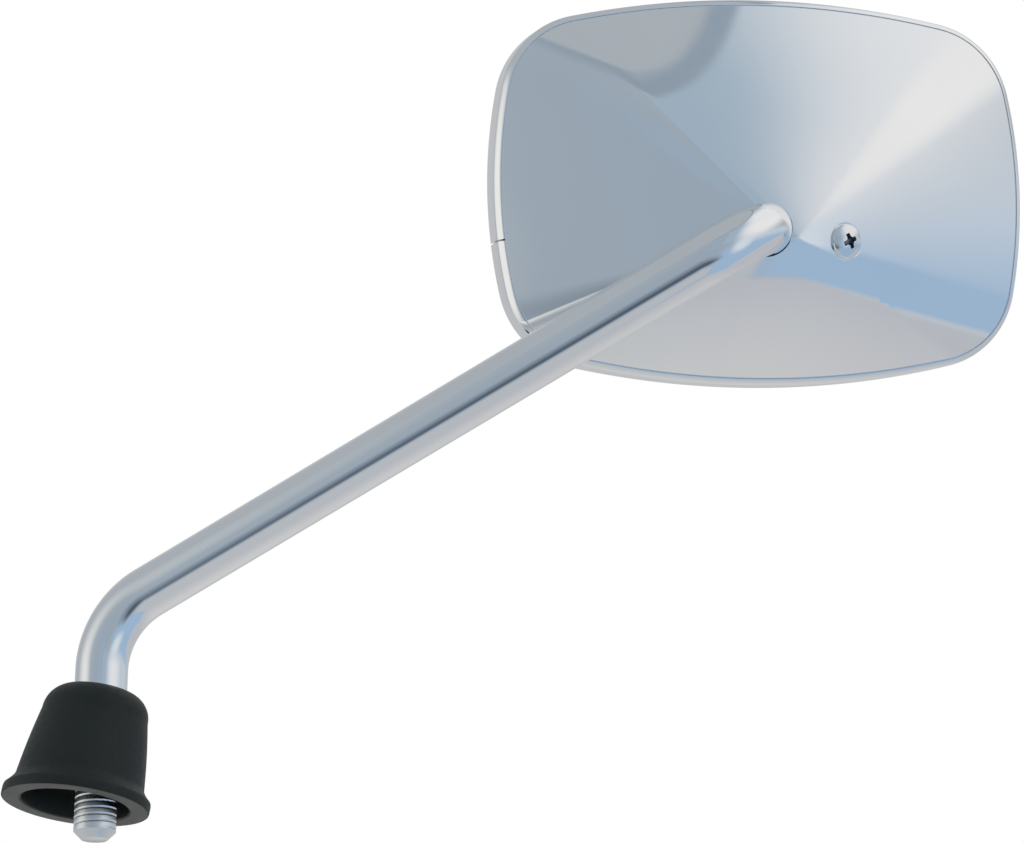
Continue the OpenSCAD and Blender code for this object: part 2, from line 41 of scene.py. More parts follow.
# Sizes in millimetres. Those of the boot's wall and lip, the rim's bead and the seam follow the photograph more
# closely than the source's solids do, and the thread and the screw's cross are here alone
ROD_R = 5.0
STUD_R = 4.0
STUD_LEN = 21.2
STUD_CHAMFER = 1.5
THREAD_PITCH = 1.25
THREAD_DEPTH = 0.17
THREAD_HALF = 0.17
THREAD_TIP_GAP, THREAD_TIP_FADE = 1.6, 0.8
THREAD_TOP_GAP, THREAD_TOP_FADE = 0.6, 1.2
SHOULDER_Z = 8.6
FOOT_LEN = 11.7
LOWER_BEND_R = 15.9
ROD_RISE = radians(24.7)
ROD_LEN = 123.4
UPPER_BEND_R = 12.0
UPPER_BEND = radians(95.5)
UPPER_TWIST = radians(24.3)
NECK_R = 3.0
NECK_TAPER = 1.6
NECK_START = 0.4
NECK_LEN = 8.9
BALL_R = 5.0

BOOT_H = 22.3
BOOT_TOP = 7.7
BOOT_SHOULDER_R = 10.0
BOOT_SHOULDER_ROUND = 5.0
BOOT_BASE_R = 12.1
BOOT_LIP_H = 4.2
BOOT_LIP_OUT = 1.83
BOOT_BORE_R = 10.1
BOOT_COLLAR_TILT = radians(8)
BOOT_NOD = radians(2.2)
BOOT_ROOF = 4.4
BOOT_LEAN = radians(10)
BOOT_MOUTH_TILT = radians(6)
BOOT_LEAN_TURN = radians(202)
BOOT_GAP = 0.06
BOOT_BULGE = 0.15
BOOT_FLARE = 1.5
BOOT_LIP_EDGE_TOP, BOOT_LIP_EDGE_LOW = 1.9, 1.5
BOOT_LIP_ROUND = 0.22
BOOT_MOUTH_BEVEL = 0.5
BOOT_ROOF_ROUND = 1.6

HALF_W = 53.57
HALF_H = 37.77
LONG_R = 181.0
SHORT_R = 97.5
CORNER_R = 18.0
HEAD_YAW = radians(36.2)
HEAD_PITCH = radians(-14.7)
HEAD_ROLL = radians(5.2)
BALL_IN_HEAD = Vector((-4.4, -9.7, 15.2))
BAND_DEPTH = 7.5
BAND_T = 0.7
BACK_LIP = 1.2
FRONT_LIP = 2.2
FRONT_EDGE_R = 0.9
SEAM_DROP = 10.0
SEAM_GAP = 0.35
DOME_H = 22.6
PEAK = (-0.7, -11.7)
DOME_FULLNESS = 1.4
SHELL_T = 0.8
NECK_HOLE_R = 5.15
SCREW = (9.7, -12.1)
SCREW_HEAD_R = 3.3
SCREW_HEAD_H = 1.6
SCREW_LEN = 15.2
SEAT_DEPTH = 0.15
SEAT_R = 3.6
SCREW_TURN = 32
SCREW_WALL = 0.55
SCREW_EDGE_ROUND = 0.3
SHANK_R = 1.5
CROSS_ARM, CROSS_ARM_FADE = 1.5, 0.3
CROSS_HALF, CROSS_HALF_FADE = 0.48, 0.16
CROSS_NARROWS = 0.06
CROSS_WELL, CROSS_WELL_FADE = 0.85, 0.3
CROSS_DEPTH = 1.15
DOME_INSET = 1.3
SKIRT_INSET = 1.25
SKIRT_INNER = 1.95
FLANGE_Z = -0.12
GASKET_Z = -6.8
GASKET_T = 0.5
GLASS_Z = -6.3
GLASS_T = 3.0
SKIRT_Z = -3.3
GLASS_INSET = 1.2
GLASS_BEVEL = 0.25
GASKET_OUTER = 0.95
GASKET_BEVEL = 0.15

# Directions of the rod, the neck and the head
Z_AXIS = Vector((0, 0, 1))
rod_dir = Vector((cos(ROD_RISE), 0, sin(ROD_RISE)))
rod_up = Vector((-sin(ROD_RISE), 0, cos(ROD_RISE)))
bend_side = cos(UPPER_TWIST) * Vector((0, 1, 0)) + sin(UPPER_TWIST) * rod_up
neck_dir = cos(UPPER_BEND) * rod_dir + sin(UPPER_BEND) * bend_side
head_z = Vector((sin(HEAD_YAW) * cos(HEAD_PITCH), -cos(HEAD_YAW) * cos(HEAD_PITCH), sin(HEAD_PITCH)))
level_x = Vector((cos(HEAD_YAW), sin(HEAD_YAW), 0))
level_y = head_z.cross(level_x)
head_x = cos(HEAD_ROLL) * level_x + sin(HEAD_ROLL) * level_y
head_y = cos(HEAD_ROLL) * level_y - sin(HEAD_ROLL) * level_x


# A rod's stations: place, direction and two cross directions
def rod_stations():
    place = Vector((0, 0, SHOULDER_Z))
    along, side, cross = Vector((0, 0, 1)), Vector((1, 0, 0)), Vector((0, 1, 0))
    stations = []

    def straight(length, steps, first=0):
        nonlocal place
        for i in range(first, steps + 1):
            stations.append((place + along * (length * i / steps), along.copy(), side.copy(), cross.copy()))
        place = place + along * length

    def bend(radius, angle, towards, steps):
        nonlocal place, along, side, cross
        axis = along.cross(towards)
        start, direction = place.copy(), along.copy()
        for i in range(1, steps + 1):
            turn = angle * i / steps
            spin = Matrix.Rotation(turn, 3, axis)
            at = start + radius * (sin(turn) * direction + (1 - cos(turn)) * towards)
            stations.append((at, spin @ direction, spin @ side, spin @ cross))
        place = stations[-1][0].copy()
        along, side, cross = (v.copy() for v in stations[-1][1:])

    straight(FOOT_LEN, 3)
    bend(LOWER_BEND_R, pi / 2 - ROD_RISE, Vector((1, 0, 0)), 40)
    straight(ROD_LEN, 12, 1)
    bend(UPPER_BEND_R, UPPER_BEND, bend_side, 56)
    return stations


stations = rod_stations()
neck_start, neck_along = stations[-1][:2]
ball = neck_start + neck_along * NECK_LEN
neck_out = Vector((-neck_dir.dot(head_x), -neck_dir.dot(head_y), -neck_dir.dot(head_z)))


# A point of the head's own frame in the part's frame
def from_head(p):
    q = Vector(p) - BALL_IN_HEAD
    return ball + q.x * head_x + q.y * head_y + q.z * head_z


def head_vector(v):
    return v[0] * head_x + v[1] * head_y + v[2] * head_z


# A mesh object from points in millimetres; normals are given for chrome that must reflect cleanly
def solid(name, points, faces, body, nodes=(), crease=35, normals=None, place=None):
    mesh = bpy.data.meshes.new(name)
    put = place or (lambda p: Vector(p))
    mesh.from_pydata([put(p) * MM for p in points], [], faces)
    mesh.validate()
    obj = bpy.data.objects.new(name, mesh)
    bpy.context.scene.collection.objects.link(obj)
    for poly in mesh.polygons:
        poly.use_smooth = True
    if normals is not None:
        mesh.normals_split_custom_set_from_vertices(normals)
    else:
        mesh.set_sharp_from_angle(angle=radians(crease))
    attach(obj, body)
    if nodes:
        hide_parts(*nodes)
    return obj


# Faces between equal closed rings, with plain caps at the ends
def ring_faces(rings, count, caps=True, closed=True):
    faces = []
    for j in range(rings - 1):
        for i in range(count if closed else count - 1):
            k = (i + 1) % count
            faces.append((j * count + i, j * count + k, (j + 1) * count + k, (j + 1) * count + i))
    if caps:
        faces.append(tuple(range(count - 1, -1, -1)))
        faces.append(tuple((rings - 1) * count + i for i in range(count)))
    return faces


def ring(place, side, cross, radius, count):
    return [
        place + radius * (cos(2 * pi * i / count) * side + sin(2 * pi * i / count) * cross)
        for i in range(count)
    ]


# The head's outline as arcs: centre, radius and angles
def outline_arcs(inset):
    long_c = Vector((0, HALF_H - LONG_R))
    short_c = Vector((HALF_W - SHORT_R, 0))
    step = short_c - long_c
    gap = step.length
    from_long, from_short = LONG_R - CORNER_R, SHORT_R - CORNER_R
    along = (from_long ** 2 - from_short ** 2 + gap ** 2) / (2 * gap)
    aside = sqrt(from_long ** 2 - along ** 2)
    corner = long_c + (along * step + aside * Vector((step.y, -step.x))) / gap
    turn_long = atan2(corner.y - long_c.y, corner.x)
    turn_short = atan2(corner.y, corner.x - short_c.x)
    cx, cy, sx, ly = corner.x, corner.y, short_c.x, long_c.y
    rs, rl, rc = SHORT_R - inset, LONG_R - inset, CORNER_R - inset
    return [
        (sx, 0, rs, -turn_short, turn_short),
        (cx, cy, rc, turn_short, turn_long),
        (0, ly, rl, turn_long, pi - turn_long),
        (-cx, cy, rc, pi - turn_long, pi - turn_short),
        (-sx, 0, rs, pi - turn_short, pi + turn_short),
        (-cx, -cy, rc, pi + turn_short, pi + turn_long),
        (0, -ly, rl, pi + turn_long, 2 * pi - turn_long),
        (cx, -cy, rc, 2 * pi - turn_long, 2 * pi - turn_short),
    ]


# Stations round the outline: (arc number, angle), anticlockwise from the seam, which is half_open to each side
def outline_stations(long_steps, short_steps, corner_steps, half_open=0.0):
    arcs = outline_arcs(0)
    steps = [short_steps, corner_steps, long_steps, corner_steps] * 2
    seam_at = pi + asin(SEAM_DROP / SHORT_R)
    out = []
    first = arcs[4]
    start, end = seam_at + half_open, seam_at - half_open
    half = max(2, short_steps // 2)
    for i in range(half):
        out.append((4, start + (first[4] - start) * i / half))
    for k in (5, 6, 7, 0, 1, 2, 3):
        a0, a1 = arcs[k][3], arcs[k][4]
        for i in range(steps[k]):
            out.append((k, a0 + (a1 - a0) * i / steps[k]))
    count = half + 1 if half_open else half
    for i in range(count):
        out.append((4, first[3] + (end - first[3]) * i / half))
    return out


def outline_at(station, inset):
    arcs = outline_arcs(0)
    cx, cy, r, _, _ = arcs[station[0]]
    return cx + (r - inset) * cos(station[1]), cy + (r - inset) * sin(station[1])


DOME_ARCS = outline_arcs(DOME_INSET)


# How far the dome's edge lies from a point of the head's plane, in a unit direction
def reach_to_edge(x, y, dx, dy):
    best, slack = None, 1e9
    for cx, cy, r, a0, a1 in DOME_ARCS:
        ox, oy = x - cx, y - cy
        b = ox * dx + oy * dy
        disc = b * b - (ox * ox + oy * oy - r * r)
        if disc < 0:
            continue
        s = -b + sqrt(disc)
        at = atan2(oy + s * dy, ox + s * dx)
        off = abs((at - (a0 + a1) / 2 + pi) % (2 * pi) - pi) - (a1 - a0) / 2
        if s > 0 and off < slack:
            best, slack = s, off
    return best


# Height of the dome over the rim's back, from the share of the way from its peak to its edge
def dome_height(x, y):
    dx, dy = x - PEAK[0], y - PEAK[1]
    reach = hypot(dx, dy)
    if reach < 1e-9:
        return DOME_H
    share = reach / reach_to_edge(*PEAK, dx / reach, dy / reach)
    return FLANGE_Z + (DOME_H - FLANGE_Z) * (1 - share ** DOME_FULLNESS)


# The clamp screw's frame: square to the dome, with its origin on it
def screw_frame():
    x, y = SCREW
    step = 0.5
    zx = (dome_height(x + step, y) - dome_height(x - step, y)) / (2 * step)
    zy = (dome_height(x, y + step) - dome_height(x, y - step)) / (2 * step)
    spin = Matrix.Rotation(atan2(-zy, -zx), 3, "Z") @ Matrix.Rotation(atan2(hypot(zx, zy), 1.0), 3, "Y")
    return Vector((x, y, dome_height(x, y))), spin, zx, zy


screw_at, screw_spin, SLOPE_X, SLOPE_Y = screw_frame()


def on_screw(p):
    return screw_at + screw_spin @ Vector(p)


def ease(t):
    t = min(1.0, max(0.0, t))
    return t * t * (3 - 2 * t)


# The dome with the flat seat formed for the screw
def shell_height(x, y):
    dx, dy = x - SCREW[0], y - SCREW[1]
    rise = SLOPE_X * dx + SLOPE_Y * dy
    blend = ease((sqrt(dx * dx + dy * dy + rise * rise) - SEAT_R + 0.2) / 0.3)
    if blend >= 1:
        return dome_height(x, y)
    seat = screw_at.z + rise - SEAT_DEPTH / screw_spin[2][2]
    return seat + (dome_height(x, y) - seat) * blend


def shell_normal(x, y, step=0.02):
    zx = (shell_height(x + step, y) - shell_height(x - step, y)) / (2 * step)
    zy = (shell_height(x, y + step) - shell_height(x, y - step)) / (2 * step)
    return Vector((-zx, -zy, 1)).normalized()


# Where the neck's hole meets the dome, for an angle round the neck
def hole_point(angle, height, radius):
    helper = neck_out.cross(Vector((0, 1, 0))).normalized()
    other = neck_out.cross(helper)
    rim = BALL_IN_HEAD + radius * (cos(angle) * helper + sin(angle) * other)
    low, high = 0.0, 20.0
    for _ in range(40):
        mid = (low + high) / 2
        p = rim + mid * neck_out
        if p.z < height(p.x, p.y):
            low = mid
        else:
            high = mid
    return rim + low * neck_out


def inside(x, y, loop):
    hit = False
    n = len(loop)
    for i in range(n):
        x1, y1 = loop[i]
        x2, y2 = loop[(i + 1) % n]
        if (y1 > y) != (y2 > y) and x < x1 + (y - y1) * (x2 - x1) / (y2 - y1):
            hit = not hit
    return hit


# The dome as one fine sheet, with the neck's hole, the screw's hole and the skirt inside the rim
def make_shell():
    around = 216
    row_step, seat_clear, edge_clear = 1.15, 4.05, 0.35
    screw_hole_r, drop_r = 1.7, 1.6
    hole = [hole_point(2 * pi * i / around, shell_height, NECK_HOLE_R) for i in range(around)]
    hole_loop = [(p.x, p.y) for p in hole]
    edge = [outline_at(s, DOME_INSET) for s in outline_stations(40, 28, 22)]
    screw_loop = [
        (SCREW[0] + screw_hole_r * cos(2 * pi * i / 24), SCREW[1] + screw_hole_r * sin(2 * pi * i / 24))
        for i in range(24)
    ]
    points = list(edge) + list(hole_loop) + list(screw_loop)
    n_edge, n_hole, n_screw = len(edge), len(hole_loop), len(screw_loop)
    loops = [(0, n_edge), (n_edge, n_hole), (n_edge + n_hole, n_screw)]
    edges = [(a + i, a + (i + 1) % n) for a, n in loops for i in range(n)]

    # Rows of points from the neck's hole out to the edge, closer near the hole
    mid_x = sum(p[0] for p in hole_loop) / n_hole
    mid_y = sum(p[1] for p in hole_loop) / n_hole
    for i in range(around):
        hx, hy = hole_loop[i]
        dx, dy = hx - mid_x, hy - mid_y
        size = hypot(dx, dy)
        dx, dy = dx / size, dy / size
        reach = reach_to_edge(mid_x, mid_y, dx, dy) - size
        count = max(6, int(reach / row_step))
        for k in range(1, count):
            t = (k / count) ** 1.25 * reach
            if k % 2 and i % 2 and t < 0.6 * reach:
                continue
            x, y = mid_x + (size + t) * dx, mid_y + (size + t) * dy
            if hypot(x - SCREW[0], y - SCREW[1]) < seat_clear or reach - t < edge_clear:
                continue
            points.append((x, y))
    for r in (2.1, 2.6, 3.0, 3.1, 3.2, 3.28, 3.36, 3.44, 3.52, 3.6, 3.68, 3.76, 3.9):
        for i in range(64):
            a = 2 * pi * (i + 0.5 * (int(r * 100) % 2)) / 64
            points.append((SCREW[0] + r * cos(a), SCREW[1] + r * sin(a)))
    found = delaunay_2d_cdt([Vector(p) for p in points], edges, [], 0, 1e-7)
    flat, tris = found[0], found[2]
    keep = []
    for t in tris:
        cx = sum(flat[i].x for i in t) / 3
        cy = sum(flat[i].y for i in t) / 3
        if hypot(cx - SCREW[0], cy - SCREW[1]) < drop_r or inside(cx, cy, hole_loop):
            continue
        keep.append(tuple(t))
    verts = [Vector((p.x, p.y, shell_height(p.x, p.y))) for p in flat]
    normals = [head_vector(shell_normal(p.x, p.y)) for p in flat]
    faces = []
    for t in keep:
        a, b, c = (flat[i] for i in t)
        turn = (b.x - a.x) * (c.y - a.y) - (b.y - a.y) * (c.x - a.x)
        faces.append(t if turn > 0 else t[::-1])
    # The underside, a sheet's thickness below
    base = len(verts)
    verts += [v - Vector((0, 0, SHELL_T)) for v in verts[:base]]
    normals += [-n for n in normals[:base]]
    faces += [tuple(base + i for i in t[::-1]) for t in faces]

    # A strip of its own points, so that its edges stay crisp
    def strip(rows, outward):
        start = len(verts)
        count = len(rows[0])
        for j, row in enumerate(rows):
            for i, p in enumerate(row):
                verts.append(Vector(p))
                normals.append(head_vector(outward(i, j)))
        for j in range(len(rows) - 1):
            for i in range(count):
                k = (i + 1) % count
                faces.append((start + j * count + i, start + j * count + k,
                              start + (j + 1) * count + k, start + (j + 1) * count + i))

    lower = [p - Vector((0, 0, SHELL_T)) for p in hole]
    axis_out = [(p - BALL_IN_HEAD) - (p - BALL_IN_HEAD).dot(neck_out) * neck_out for p in hole]
    axis_out = [-v.normalized() for v in axis_out]
    strip([hole[::-1], lower[::-1]], lambda i, j: axis_out[::-1][i])
    rim_stations = outline_stations(40, 28, 22)

    def level(inset, z):
        return [(*outline_at(s, inset), z) for s in rim_stations]

    def radial(i, j):
        s = rim_stations[i]
        return Vector((cos(s[1]), sin(s[1]), 0))

    strip([level(DOME_INSET, FLANGE_Z)[::-1], level(SKIRT_INSET, FLANGE_Z)[::-1]],
          lambda i, j: Vector((0, 0, 1)))
    strip([level(SKIRT_INSET, FLANGE_Z)[::-1], level(SKIRT_INSET, SKIRT_Z)[::-1]],
          lambda i, j: radial(len(rim_stations) - 1 - i, j))
    strip([level(SKIRT_INSET, SKIRT_Z)[::-1], level(SKIRT_INNER, SKIRT_Z)[::-1]],
          lambda i, j: Vector((0, 0, -1)))
    strip([level(SKIRT_INNER, SKIRT_Z)[::-1], level(SKIRT_INNER, FLANGE_Z - SHELL_T)[::-1]],
          lambda i, j: -radial(len(rim_stations) - 1 - i, j))
    return solid("chromed_back_shell", verts, faces, "head", ("back_shell",),
                 normals=normals, place=from_head)


def fillet(cx, cz, r, start, end, steps):
    return [
        (cx + r * cos(start + (end - start) * i / steps), cz + r * sin(start + (end - start) * i / steps))
        for i in range(steps + 1)
    ]


# The bead of the rim's back edge, from the side to the inner edge, as turns of its face away from the back
def bead():
    points, at = [], Vector((0, 0))
    for start, end, length, steps in ((90, 62, 0.35, 5), (62, 38, 1.15, 8), (38, 15, 0.2, 4)):
        for i in range(steps):
            face = radians(start + (end - start) * (i + 0.5) / steps)
            at = at + Vector((cos(face), sin(face))) * (length / steps)
            points.append(at)
    top = max(q.y for q in points)
    scale = BACK_LIP / at.x
    return [(q.x * scale, (q.y - top) * scale) for q in [Vector((0, 0))] + points]


# The rim: a bent strip with a bead at the back, a lip at the front and a slit at its seam
def make_band():
    half_open = SEAM_GAP / 2 / SHORT_R
    line = outline_stations(48, 36, 26, half_open=half_open)
    f, t = FRONT_EDGE_R, BAND_T
    back, front = -BAND_DEPTH, -BAND_DEPTH + f
    section = bead()[::-1]
    section += fillet(f, front, f, pi, 1.5 * pi, 8)
    section += [(FRONT_LIP - 0.12, back), (FRONT_LIP, back + 0.12), (FRONT_LIP, back + t - 0.1)]
    section += [(FRONT_LIP - 0.1, back + t), (f, back + t), (t, front)]
    section += [(t, -1.3), (1.0, -t), (BACK_LIP, -t)]
    count = len(section)
    verts = []
    for s in line:
        for inset, z in section:
            verts.append((*outline_at(s, inset), z))
    faces = ring_faces(len(line), count)
    faces = [tuple(reversed(f)) for f in faces]
    return solid("chromed_rim_band", verts, faces, "head", ("rim_band",), crease=40,
                 place=from_head)


# A flat plate over the outline, with a small bevel round both faces
def outline_plate(name, inset, z0, z1, bevel, node):
    line = outline_stations(40, 28, 20)
    rows = [(inset + bevel, z0), (inset, z0 + bevel), (inset, z1 - bevel), (inset + bevel, z1)]
    verts = [(*outline_at(s, i), z) for i, z in rows for s in line]
    faces = ring_faces(len(rows), len(line))
    return solid(name, verts, faces, "head", (node,), crease=25, place=from_head)


# The thin rubber ring between the glass and the rim's front lip
def make_gasket():
    line = outline_stations(40, 28, 20)
    outer, inner = GASKET_OUTER, FRONT_LIP + 0.4
    low, high = GASKET_Z, GASKET_Z + GASKET_T
    rows = [(outer, low), (inner - GASKET_BEVEL, low), (inner, low + GASKET_BEVEL), (inner, high),
            (outer, high), (outer, low)]
    verts = [(*outline_at(s, i), z) for i, z in rows for s in line]
    faces = ring_faces(len(rows), len(line), caps=False)
    return solid("rubber_glass_gasket", verts, faces, "head", ("glass_gasket",), crease=30,
                 place=from_head)


# The rod from its shoulder to the ball, as one surface
def make_rod():
    count = 72
    verts = []
    place, along, side, cross = stations[0]
    for r, lift in ((STUD_R - 0.4, 0.0), (ROD_R - 0.45, 0.0), (ROD_R - 0.12, 0.14), (ROD_R, 0.5)):
        verts += ring(place + along * lift, side, cross, r, count)
    for at, _, s, c in stations[1:]:
        verts += ring(at, s, c, ROD_R, count)
    end, along, side, cross = stations[-1]
    profile = [(NECK_START, ROD_R)]
    for i in range(1, 9):
        t = i / 8
        profile.append((NECK_START + NECK_TAPER * t, ROD_R + (NECK_R - ROD_R) * ease(t)))
    meet = NECK_LEN - sqrt(BALL_R ** 2 - NECK_R ** 2)
    profile.append((meet, NECK_R))
    open_angle = asin(NECK_R / BALL_R)
    for i in range(1, 41):
        a = open_angle + (pi - open_angle) * i / 40
        profile.append((NECK_LEN - BALL_R * cos(a), max(0.02, BALL_R * sin(a))))
    for lift, r in profile:
        verts += ring(end + along * lift, side, cross, r, count)
    rows = len(verts) // count
    return solid("chromed_rod", verts, ring_faces(rows, count), "stem", ("stem",), crease=30)


# The stud with its helical thread
def make_stud():
    count, rows_a_turn = 96, 20
    tip = SHOULDER_Z - STUD_LEN
    top = SHOULDER_Z + 0.05
    rows = int((top - tip) / THREAD_PITCH * rows_a_turn)
    verts = []
    for j in range(rows + 1):
        z = tip + (top - tip) * j / rows
        fade = ease((top - THREAD_TOP_GAP - z) / THREAD_TOP_FADE)
        fade *= ease((z - tip - THREAD_TIP_GAP) / THREAD_TIP_FADE)
        for i in range(count):
            a = 2 * pi * i / count
            phase = ((z - tip) / THREAD_PITCH - a / (2 * pi)) % 1.0
            groove = THREAD_DEPTH * min(1.0, max(0.0, 1.1 - abs(phase - 0.5) / THREAD_HALF))
            r = min(STUD_R - groove * fade, STUD_R - STUD_CHAMFER + (z - tip))
            verts.append(Vector((r * cos(a), r * sin(a), z)))
    for i in range(count):
        a = 2 * pi * i / count
        verts.append(Vector((2.0 * cos(a), 2.0 * sin(a), top)))
    faces = ring_faces(rows + 2, count)
    return solid("threaded_stud", verts, faces, "stem", ("stem",), crease=50)


# One level of the leaning boot, tilted as its collar at the top and as its mouth at the bottom
def boot_ring(r, z, count):
    top = SHOULDER_Z + BOOT_TOP
    depth = top - z
    shift = depth * tan(BOOT_LEAN)
    out = []
    for i in range(count):
        a = 2 * pi * i / count
        x, y = r * cos(a) + shift, r * sin(a)
        down = min(1.0, max(0.0, depth / BOOT_H))
        lift = r * cos(a) * tan(BOOT_COLLAR_TILT + (BOOT_MOUTH_TILT - BOOT_COLLAR_TILT) * down)
        lift += r * sin(a) * tan(BOOT_NOD) * down
        turn = BOOT_LEAN_TURN
        out.append(Vector((x * cos(turn) - y * sin(turn), x * sin(turn) + y * cos(turn), z + lift)))
    return out


# One level of the boot's collar, round the rod
def straight_ring(r, z, count):
    out = []
    for i in range(count):
        a = 2 * pi * i / count
        at = a + BOOT_LEAN_TURN
        out.append(Vector((r * cos(at), r * sin(at), z + r * cos(a) * tan(BOOT_COLLAR_TILT))))
    return out


# The boot: a round-shouldered bell with a flared lip and a hollow inside; its lip's face is given too, for its
# painted sheen
def make_boot():
    count = 128
    top = SHOULDER_Z + BOOT_TOP
    base = top - BOOT_H
    roof = top - BOOT_ROOF
    lip_z = base + BOOT_LIP_H
    lip_r = BOOT_BASE_R + BOOT_LIP_OUT
    bore = ROD_R + BOOT_GAP
    rings = [straight_ring(bore, roof + 0.3, count), straight_ring(bore, top - 0.35, count),
             straight_ring(bore + 0.04, top - 0.1, count), straight_ring(bore + 0.16, top, count)]
    shoulder = BOOT_SHOULDER_ROUND
    for i in range(0, 21):
        a = pi / 2 * i / 20
        r = BOOT_SHOULDER_R - shoulder + shoulder * sin(a)
        rings.append(boot_ring(r, top - shoulder * (1 - cos(a)), count))
    wall_top, wall_low = top - shoulder, lip_z + 0.2
    for i in range(1, 15):
        t = i / 14
        r = BOOT_SHOULDER_R + (BOOT_BASE_R - BOOT_SHOULDER_R) * t + BOOT_BULGE * sin(pi * t)
        rings.append(boot_ring(r, wall_top + (wall_low - wall_top) * t, count))
    for i in range(1, 13):
        t = i / 12
        r = BOOT_BASE_R + (BOOT_LIP_OUT - 0.08) * t ** BOOT_FLARE
        rings.append(boot_ring(r, wall_low + (base + BOOT_LIP_EDGE_TOP - wall_low) * t, count))
    rings.append(boot_ring(lip_r, base + BOOT_LIP_EDGE_LOW, count))
    for i in range(0, 7):
        a = pi / 2 * i / 6
        r = lip_r - BOOT_LIP_ROUND * (1 - cos(a))
        rings.append(boot_ring(r, base + BOOT_LIP_ROUND * (1 - sin(a)), count))
    face = len(rings) - 1
    bore_r, bevel, arch = BOOT_BORE_R, BOOT_MOUTH_BEVEL, BOOT_ROOF_ROUND
    rings.append(boot_ring(bore_r + bevel, base, count))
    rings.append(boot_ring(bore_r + 0.12, base + 0.14, count))
    rings.append(boot_ring(bore_r, base + bevel, count))
    for i in range(1, 7):
        rings.append(boot_ring(bore_r, base + bevel + (roof - bevel - arch - base) * i / 6, count))
    for i in range(1, 7):
        a = pi / 2 * i / 6
        rings.append(boot_ring(bore_r - arch * (1 - cos(a)), roof - arch + arch * sin(a), count))
    rings.append(straight_ring(bore + 0.3, roof, count))
    rings.append(rings[0])
    verts = [p for r in rings for p in r]
    faces = [tuple(reversed(f)) for f in ring_faces(len(rings), count, caps=False)]
    obj = solid("rubber_boot_skin", verts, faces, "boot", ("rubber_boot",), crease=45)
    return obj, range(face * count, (face + 1) * count)


# The clamp screw: a domed head with a cross recess, over its shank; the recess's faces are given too, for their
# dark metal and painted shade
def make_screw():
    reach = SCREW_HEAD_R
    rise = SCREW_HEAD_H - SCREW_WALL
    crown = (reach ** 2 + rise ** 2) / (2 * rise)
    turn = radians(SCREW_TURN)

    def dome(r):
        return SCREW_HEAD_H - (crown - sqrt(crown ** 2 - r * r))

    def top(x, y):
        r = hypot(x, y)
        z = dome(r)
        edge = reach - r
        if edge < SCREW_EDGE_ROUND:
            z -= SCREW_EDGE_ROUND - sqrt(max(0.0, SCREW_EDGE_ROUND ** 2 - (SCREW_EDGE_ROUND - edge) ** 2))
        u, v = x * cos(turn) + y * sin(turn), -x * sin(turn) + y * cos(turn)
        sunk = (CROSS_WELL - r) / CROSS_WELL_FADE
        for p, q in ((u, v), (v, u)):
            side = (CROSS_HALF - CROSS_NARROWS * abs(p) - abs(q)) / CROSS_HALF_FADE
            end = (CROSS_ARM - abs(p)) / CROSS_ARM_FADE
            sunk = max(sunk, min(side, end))
        return z - CROSS_DEPTH * min(1.0, max(0.0, sunk))

    rows, count = 72, 144
    around = [(cos(2 * pi * i / count), sin(2 * pi * i / count)) for i in range(count)]
    verts = [(0, 0, top(0, 0) - SEAT_DEPTH)]
    for j in range(1, rows + 1):
        r = reach * j / rows
        verts += [(r * c, r * d, top(r * c, r * d) - SEAT_DEPTH) for c, d in around]
    tip = -SCREW_LEN
    ends = [(reach, 0.0), (SHANK_R, 0.0), (SHANK_R, tip + 0.4), (SHANK_R - 0.3, tip), (0.05, tip)]
    for r, z in ends:
        verts += [(r * c, r * d, z - SEAT_DEPTH) for c, d in around]
    faces = [(0, 1 + i, 1 + (i + 1) % count) for i in range(count)]
    for j in range(rows + len(ends) - 1):
        for i in range(count):
            a, b = 1 + j * count + i, 1 + j * count + (i + 1) % count
            faces.append((a, a + count, b + count, b))
    faces.append(tuple(len(verts) - count + i for i in range(count)))

    # The faces that lie well below the dome, in the middle of the head
    recess = []
    for n, f in enumerate(faces):
        x, y, z = (sum(verts[i][k] for i in f) / len(f) for k in range(3))
        r = hypot(x, y)
        if z > 0 and r < CROSS_ARM + 0.3 and z < dome(r) - SEAT_DEPTH - 0.12:
            recess.append(n)
    obj = solid("clamp_screw_head", verts, faces, "head", ("clamp_screw",), crease=50,
                place=lambda p: from_head(on_screw(p)))
    return obj, recess


# A node in a tree: its inputs by name or number, from a socket or a value, and its settings
def add(tree, kind, inputs, out=0, **settings):
    node = tree.nodes.new("ShaderNode" + kind)
    for name, value in settings.items():
        setattr(node, name, value)
    for key, value in inputs.items():
        if isinstance(value, bpy.types.NodeSocket):
            tree.links.new(value, node.inputs[key])
        else:
            node.inputs[key].default_value = value
    return node.outputs[out]


# Materials
def new_material(name):
    mat = bpy.data.materials.new(name)
    mat.use_nodes = True
    tree = mat.node_tree
    return mat, tree, tree.nodes["Principled BSDF"]


def noise(tree, scale, detail=3.0, rough=0.5):
    place = add(tree, "TexCoord", {}, "Object")
    return add(tree, "TexNoise", {"Vector": place, "Scale": scale, "Detail": detail, "Roughness": rough}, "Fac")


# A value spread from the noise's usual range to another
def spread(tree, value, low, high):
    ends = {"From Min": 0.3, "From Max": 0.7, "To Min": low, "To Max": high}
    return add(tree, "MapRange", {"Value": value, **ends}, "Result")


# A colour between two, by the noise's usual range
def tint(tree, value, low, high):
    ramp = tree.nodes.new("ShaderNodeValToRGB")
    for end, place, colour in zip(ramp.color_ramp.elements, (0.3, 0.7), (low, high)):
        end.position = place
        end.color = (*colour, 1)
    tree.links.new(value, ramp.inputs["Fac"])
    return ramp.outputs["Color"]


